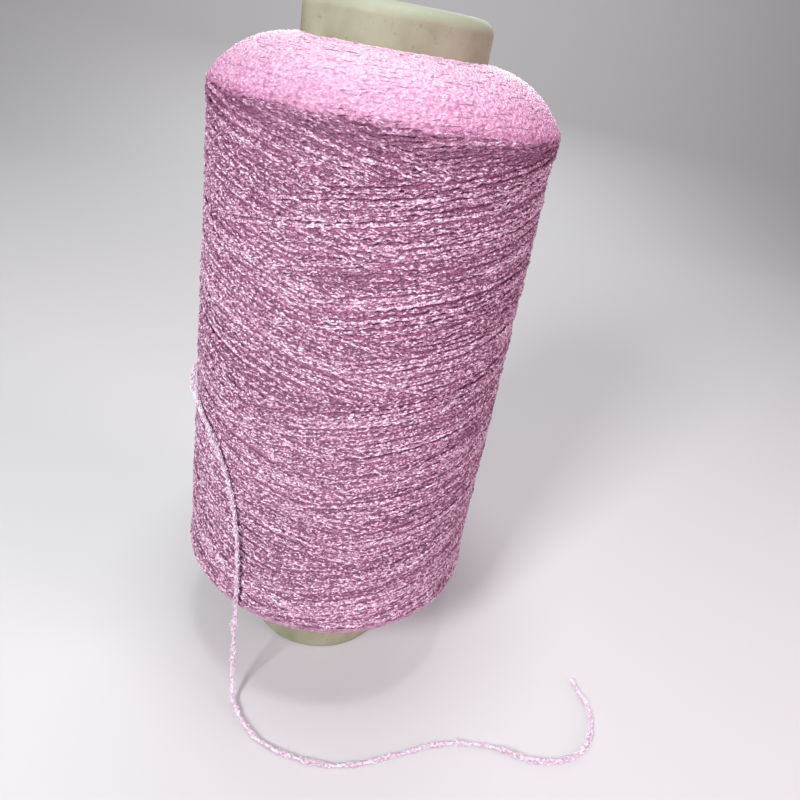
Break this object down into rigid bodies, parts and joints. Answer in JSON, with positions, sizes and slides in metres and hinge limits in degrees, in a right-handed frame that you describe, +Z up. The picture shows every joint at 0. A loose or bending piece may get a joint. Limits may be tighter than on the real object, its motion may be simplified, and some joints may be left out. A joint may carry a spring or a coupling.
{
  "type": "yarn package on a paper tube",
  "caption": "Cylindrical cross-wound package of shiny textured yarn with domed shoulders on a thick rounded paper tube, standing on end, its loose yarn end hanging down and lying in a curve",
  "frame": {"origin": "centre of the tube's lower end, on the surface the package stands on", "axes": "+Z up along the tube's axis; -Y faces the viewer, and the loose yarn end lies on the -Y side"},
  "size_m": [0.2128, 0.1674, 0.29],
  "materials": {
    "tube_paper": "matte",
    "yarn": "satin",
    "yarn_loose": "satin"
  },
  "bodies": {
    "root": {"paper_tube": "tube_paper", "yarn_winding": "yarn", "yarn_end": "yarn_loose"}
  },
  "joints": []
}
